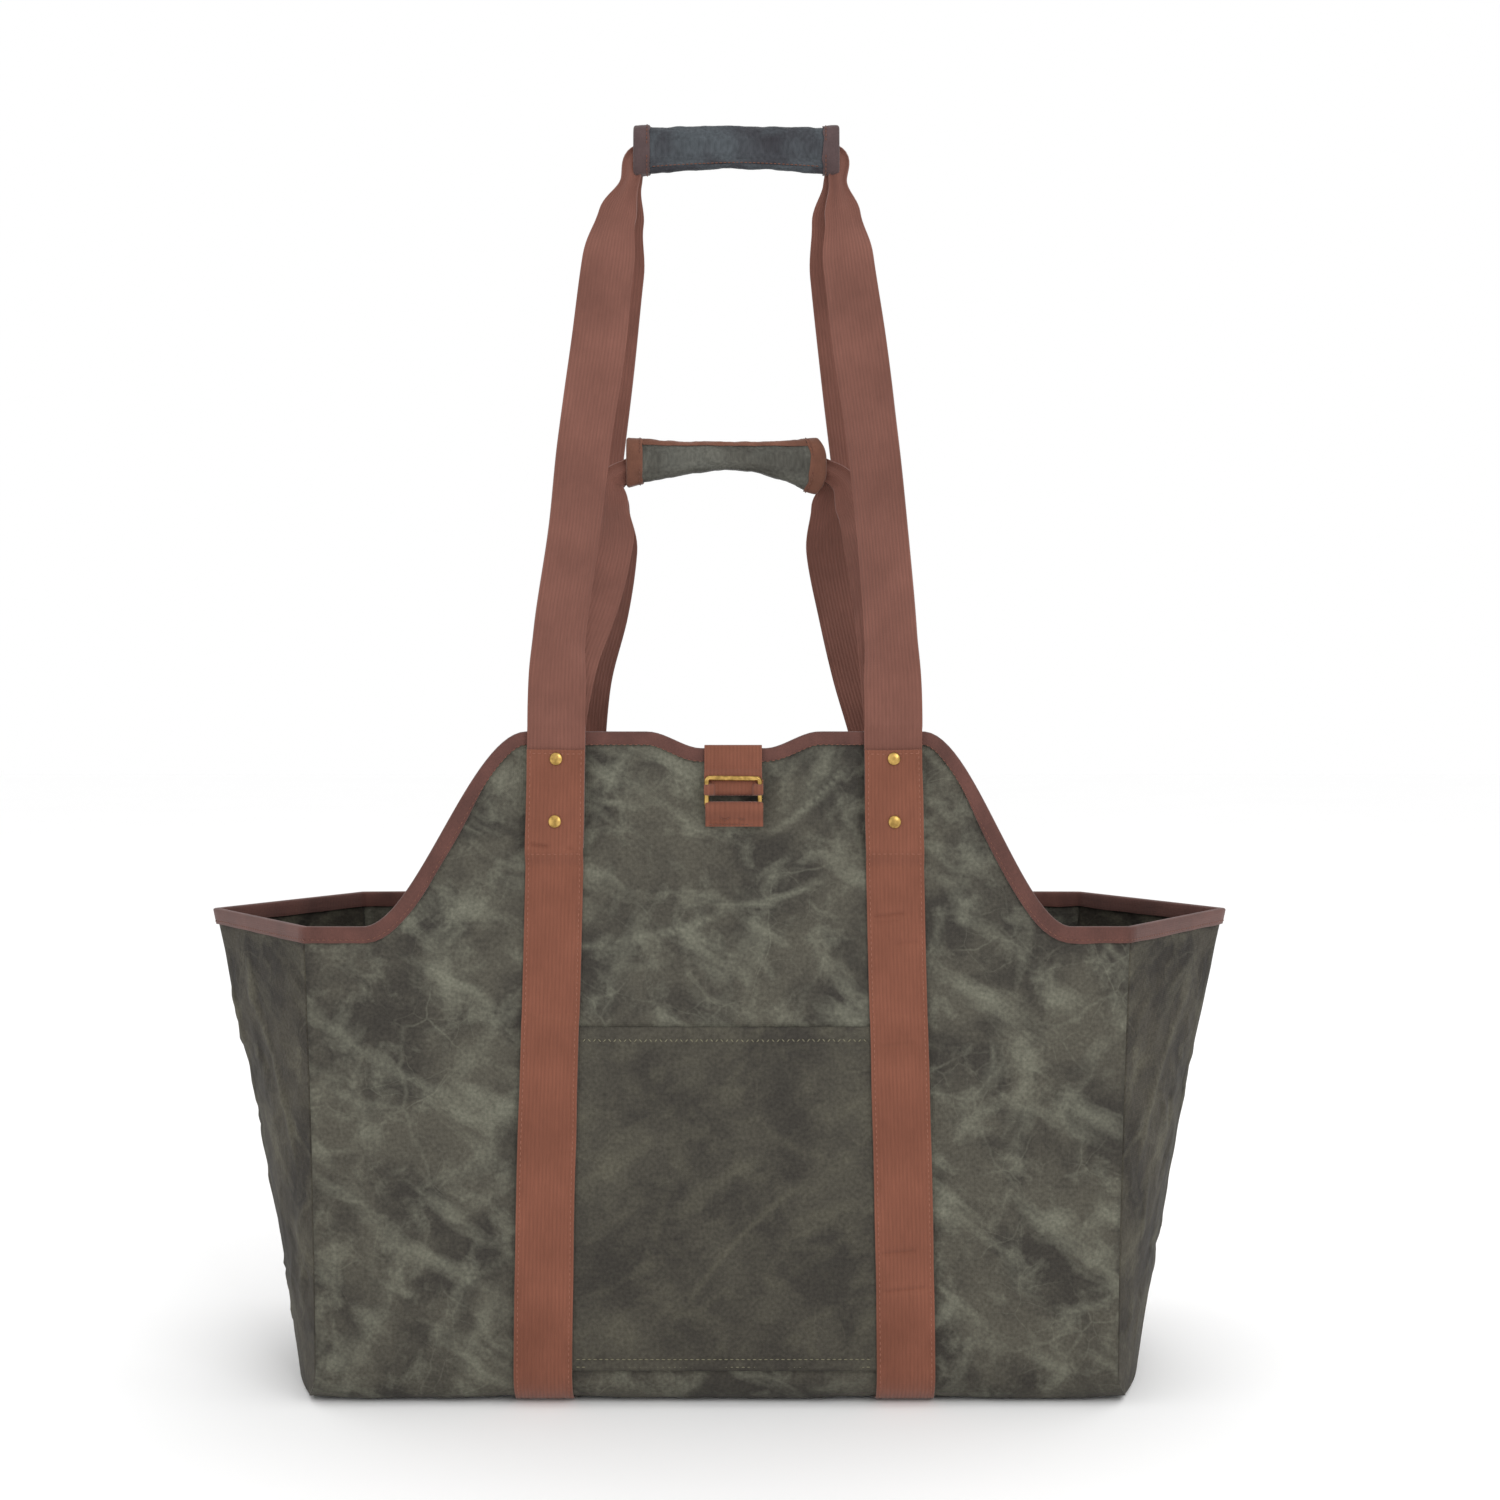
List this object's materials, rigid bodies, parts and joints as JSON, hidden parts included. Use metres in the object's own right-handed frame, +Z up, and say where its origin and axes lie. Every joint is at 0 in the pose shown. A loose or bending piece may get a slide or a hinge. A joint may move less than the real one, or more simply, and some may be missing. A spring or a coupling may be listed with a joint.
{
  "type": "canvas log carrier",
  "caption": "Open waxed-canvas tote for firewood, with folded ends, a taped rim, webbing straps, long and short handles and a strap across the mouth.",
  "frame": {"origin": "on the floor, under the middle of the bag's bounding box", "axes": "+Z up, +X to the right along the length, +Y from front to back; the side with the pocket and the rings faces -Y"},
  "size_m": [0.7166, 0.263, 0.864],
  "materials": {
    "canvas": "waxed cotton canvas, creased",
    "pocket_canvas": "waxed cotton canvas, smooth",
    "body_webbing": "woven cotton webbing",
    "handle_webbing": "woven cotton webbing",
    "binding_tape": "folded cotton tape",
    "grip_canvas_upper": "waxed cotton canvas",
    "grip_canvas_lower": "waxed cotton canvas",
    "brass": "polished, lightly tarnished"
  },
  "bodies": {
    "root": {"main_panel": "canvas", "gusset_left": "canvas", "gusset_right": "canvas", "rim_binding": "binding_tape", "pocket_patch": "pocket_canvas", "body_strap_left": "body_webbing", "body_strap_right": "body_webbing", "handle_long_front": "handle_webbing", "handle_long_back": "handle_webbing", "handle_short_front": "handle_webbing", "handle_short_back": "handle_webbing", "grip_upper": "grip_canvas_upper", "grip_lower": "grip_canvas_lower", "grip_upper_binding_left": "binding_tape", "grip_upper_binding_right": "binding_tape", "grip_lower_binding_left": "binding_tape", "grip_lower_binding_right": "binding_tape", "rivet_front_left_upper": "brass", "rivet_front_left_lower": "brass", "rivet_front_right_upper": "brass", "rivet_front_right_lower": "brass", "rivet_back_left_upper": "brass", "rivet_back_left_lower": "brass", "rivet_back_right_upper": "brass", "rivet_back_right_lower": "brass", "closure_strap": "body_webbing", "anchor_tab": "body_webbing", "ring_lower": "brass", "ring_upper": "brass"}
  },
  "joints": []
}
